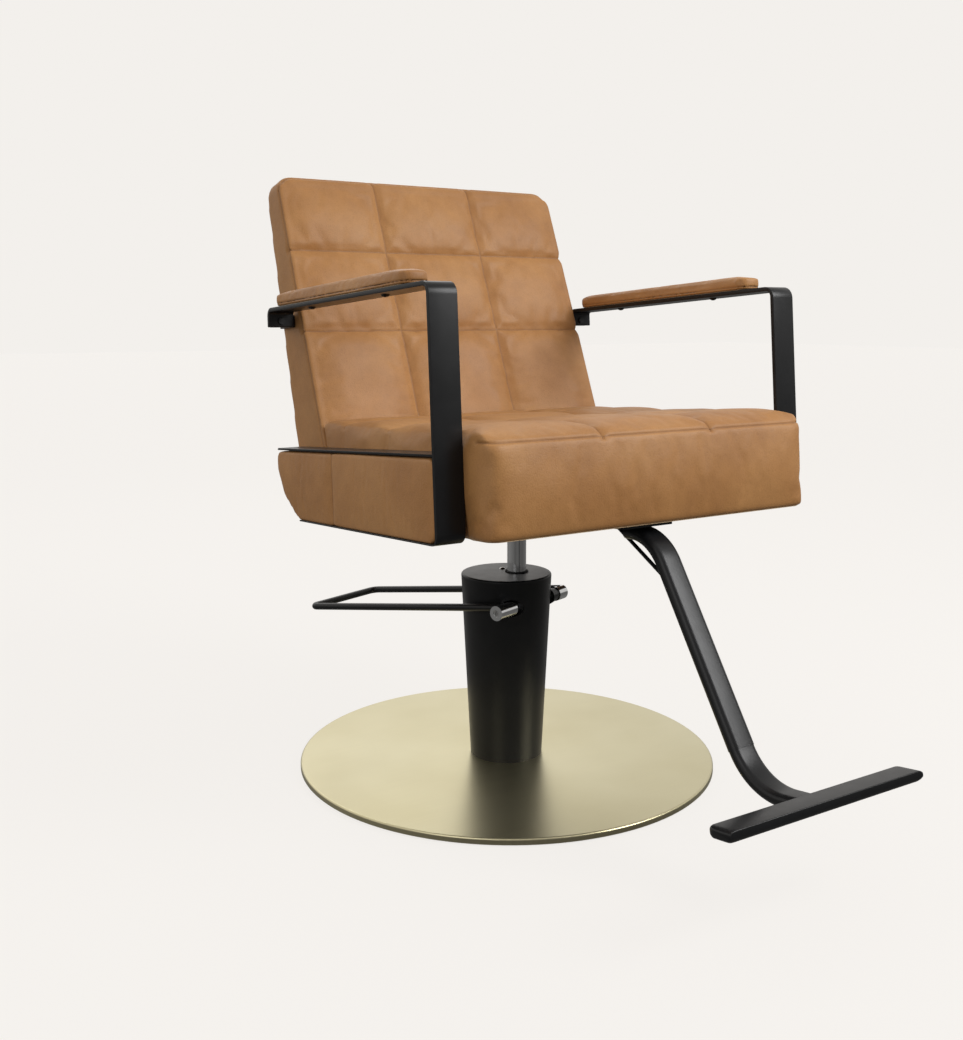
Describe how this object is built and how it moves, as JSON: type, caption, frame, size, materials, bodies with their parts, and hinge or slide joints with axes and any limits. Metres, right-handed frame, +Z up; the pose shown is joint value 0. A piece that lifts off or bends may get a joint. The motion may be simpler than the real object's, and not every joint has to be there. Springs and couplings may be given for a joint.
{
  "type": "styling chair",
  "caption": "Hydraulic styling chair: padded tan seat and back, bent flat-bar arms, T-bar footrest, pump lever, cone-shaped column cover and round base plate.",
  "frame": {"origin": "the seat's swivel axis at floor level, lever down and seat at mid height", "axes": "+Z up along the ram; the sitter faces -Y, so +Y is the rear and +X is the sitter's left"},
  "size_m": [0.616, 0.9328, 0.8644],
  "materials": {
    "base_brass": "brushed, satin lacquered",
    "black_steel": "satin black powder coat",
    "chrome": "polished",
    "bare_steel": "zinc plated",
    "cast_iron": "machined and oiled",
    "bronze": "sintered bearing bronze",
    "rubber": "matt",
    "plywood": "bare plywood",
    "leather": "soft tan upholstery over foam",
    "dust_cloth": "black lining cloth"
  },
  "bodies": {
    "base": {"floor_pad": "rubber", "base_plate": "base_brass", "base_bolts": "bare_steel", "pump_cylinder": "cast_iron", "pump_head": "cast_iron", "head_screws": "bare_steel", "shaft_bushes": "cast_iron", "gland_nut": "bare_steel", "ram_seal": "rubber", "plunger_spring": "bare_steel", "column_cover": "black_steel", "cover_bush": "rubber", "cover_screw": "chrome"},
    "piston": {"piston_head": "bare_steel", "piston_seal": "rubber", "thrust_washer": "bronze"},
    "plunger": {"plunger": "bare_steel"},
    "lever": {"lever_shaft": "chrome", "pump_cam": "cast_iron", "cam_pin": "bare_steel", "shaft_collar": "black_steel", "lever_blocks": "chrome", "lever_screws": "bare_steel", "lever_bar": "black_steel"},
    "chair": {"ram": "chrome", "seat_hub": "black_steel", "hub_plate": "black_steel", "hub_bolts": "bare_steel", "seat_board": "plywood", "dust_cover": "dust_cloth", "seat_cushion": "leather", "cross_rails": "black_steel", "rail_screws": "bare_steel", "back_board": "plywood", "back_straps": "black_steel", "strap_screws": "bare_steel", "back_cushion": "leather", "back_panel": "leather", "side_frame_left": "black_steel", "side_frame_right": "black_steel", "side_strip_left": "black_steel", "side_strip_right": "black_steel", "side_panel_left": "leather", "side_panel_right": "leather", "arm_board_left": "plywood", "arm_board_right": "plywood", "arm_pad_left": "leather", "arm_pad_right": "leather", "arm_pad_screws": "black_steel", "back_brackets": "black_steel", "bracket_screws": "black_steel", "footrest_plate": "black_steel", "footrest_bolts": "bare_steel", "footrest_tube": "black_steel", "footrest_brace": "black_steel", "footrest_elbow": "black_steel", "foot_bar": "black_steel", "foot_bar_caps": "black_steel"}
  },
  "joints": [
    {"name": "lift_slide", "type": "slide", "parent": "base", "child": "piston", "axis": [0, 0, 1], "range_m": [-0.05, 0.09]},
    {"name": "seat_swivel", "type": "hinge", "parent": "piston", "child": "chair", "pos_m": [0, 0, 0], "axis": [0, 0, 1], "continuous": true},
    {"name": "lever_hinge", "type": "hinge", "parent": "base", "child": "lever", "pos_m": [-0.00029, -0.03541, 0.239], "axis": [0.9397, 0.342, 0], "range_deg": [-20, 8], "stiffness_Nm_per_rad": 80},
    {"name": "plunger_slide", "type": "slide", "parent": "base", "child": "plunger", "axis": [0, 0, 1], "range_m": [-0.006, 0.0035], "deforming": ["plunger_spring"]}
  ],
  "couplings": [
    {"joint": "plunger_slide", "follows": "lever_hinge", "m_per_rad": 0.016}
  ]
}
